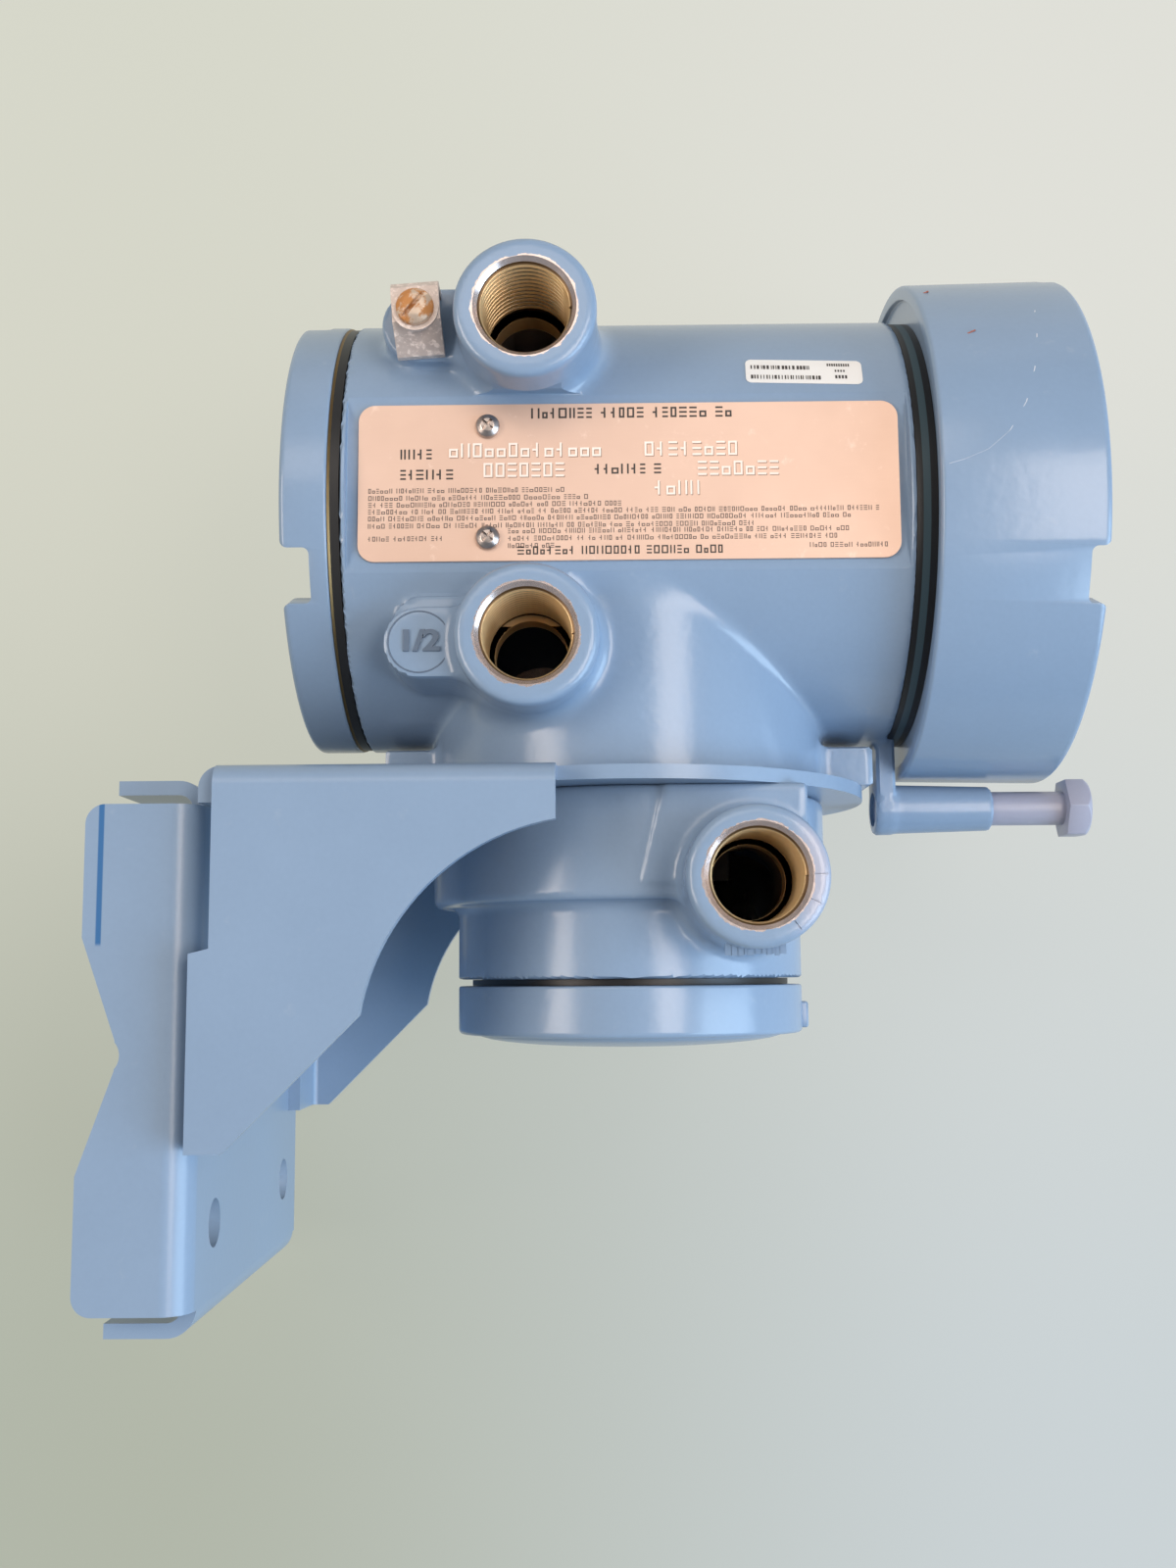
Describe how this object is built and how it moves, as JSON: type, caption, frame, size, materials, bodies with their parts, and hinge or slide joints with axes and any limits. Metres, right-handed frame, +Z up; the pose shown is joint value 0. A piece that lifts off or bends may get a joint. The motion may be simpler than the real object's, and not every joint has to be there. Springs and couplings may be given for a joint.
{
  "type": "remote coriolis flow transmitter",
  "caption": "Barrel-shaped painted transmitter housing of a coriolis flow meter on a pedestal, with threaded covers, conduit entries, a wiring housing and a folded wall and pipe bracket.",
  "frame": {"origin": "centre of the four-bolt pattern on the wall-side face of the saddle", "axes": "+X from the wall along the barrel to the display cover, -Y the side of the conduit entries and nameplate, +Z up as installed"},
  "size_m": [0.2195, 0.1247, 0.2353],
  "materials": {
    "cast_paint": "light blue satin paint on cast aluminium, softly orange-peeled, chipped at the entry rims",
    "sheet_paint": "the same light blue satin paint on folded steel sheet",
    "seal_rubber": "black rubber, lightly greased",
    "window_glass": "clear polished glass",
    "machined_aluminium": "turned, bare",
    "black_plastic": "moulded, fine grain",
    "module_plastic": "moulded, fine grain",
    "board_green": "solder-masked board",
    "display_panel": "grey-green display glass",
    "dark_lens": "dark red infrared windows",
    "bright_screws": "stainless steel",
    "green_screw": "green dyed",
    "plate_steel": "pale steel with a warm sheen",
    "white_film": "white film",
    "zinc_steel": "dulled zinc plate",
    "rusty_steel": "dulled zinc plate with rust in the slot",
    "bolt_steel": "grey-blue overspray on zinc plate"
  },
  "bodies": {
    "housing": {"main_housing": "cast_paint", "upper_entry_boss": "cast_paint", "lower_entry_boss": "cast_paint", "terminal_block": "black_plastic", "terminal_screws": "bright_screws", "inner_ground_screw": "green_screw", "electronics_module": "module_plastic", "module_screws": "bright_screws", "display_board": "board_green", "display_lcd": "display_panel", "optical_sensors": "dark_lens", "display_bezel": "black_plastic", "nameplate": "plate_steel", "nameplate_screws": "bright_screws", "sticker": "white_film", "ground_clamp": "zinc_steel", "ground_washer": "zinc_steel", "ground_screw": "rusty_steel", "mounting_bracket": "sheet_paint", "pipe_saddle": "sheet_paint", "wiring_housing": "cast_paint", "base_screws": "bright_screws", "wiring_block": "black_plastic", "wiring_block_screws": "bright_screws"},
    "terminal_cover_ring": {"terminal_cover_seal": "seal_rubber"},
    "terminal_cover": {"terminal_cover": "cast_paint"},
    "display_cover_ring": {"display_cover_seal": "seal_rubber"},
    "display_cover": {"display_cover": "cast_paint", "window_glass": "window_glass", "window_gasket": "seal_rubber", "window_retainer": "machined_aluminium"},
    "wiring_cover_ring": {"wiring_cover_seal": "seal_rubber"},
    "wiring_cover": {"wiring_cover": "cast_paint"},
    "lock_bolt": {"lock_bolt": "bolt_steel"}
  },
  "joints": [
    {"name": "terminal_cover_turn", "type": "hinge", "parent": "housing", "child": "terminal_cover_ring", "pos_m": [0.025, 0, 0.1198], "axis": [-1, 0, 0], "range_deg": [0, 1800]},
    {"name": "terminal_cover_travel", "type": "slide", "parent": "terminal_cover_ring", "child": "terminal_cover", "axis": [-1, 0, 0], "range_m": [0, 0.01005]},
    {"name": "display_cover_turn", "type": "hinge", "parent": "housing", "child": "display_cover_ring", "pos_m": [0.16, 0, 0.1198], "axis": [1, 0, 0], "range_deg": [0, 540]},
    {"name": "display_cover_travel", "type": "slide", "parent": "display_cover_ring", "child": "display_cover", "axis": [1, 0, 0], "range_m": [0, 0.00305]},
    {"name": "wiring_cover_turn", "type": "hinge", "parent": "housing", "child": "wiring_cover_ring", "pos_m": [0.091, 0, 0.01], "axis": [0, 0, -1], "range_deg": [0, 1080]},
    {"name": "wiring_cover_travel", "type": "slide", "parent": "wiring_cover_ring", "child": "wiring_cover", "axis": [0, 0, -1], "range_m": [0, 0.00605]},
    {"name": "lock_bolt_travel", "type": "slide", "parent": "housing", "child": "lock_bolt", "axis": [1, 0, 0], "range_m": [0, 0.014]}
  ],
  "couplings": [
    {"joint": "terminal_cover_travel", "follows": "terminal_cover_turn", "m_per_rad": 0.00031831},
    {"joint": "display_cover_travel", "follows": "display_cover_turn", "m_per_rad": 0.00031831},
    {"joint": "wiring_cover_travel", "follows": "wiring_cover_turn", "m_per_rad": 0.00031831}
  ]
}
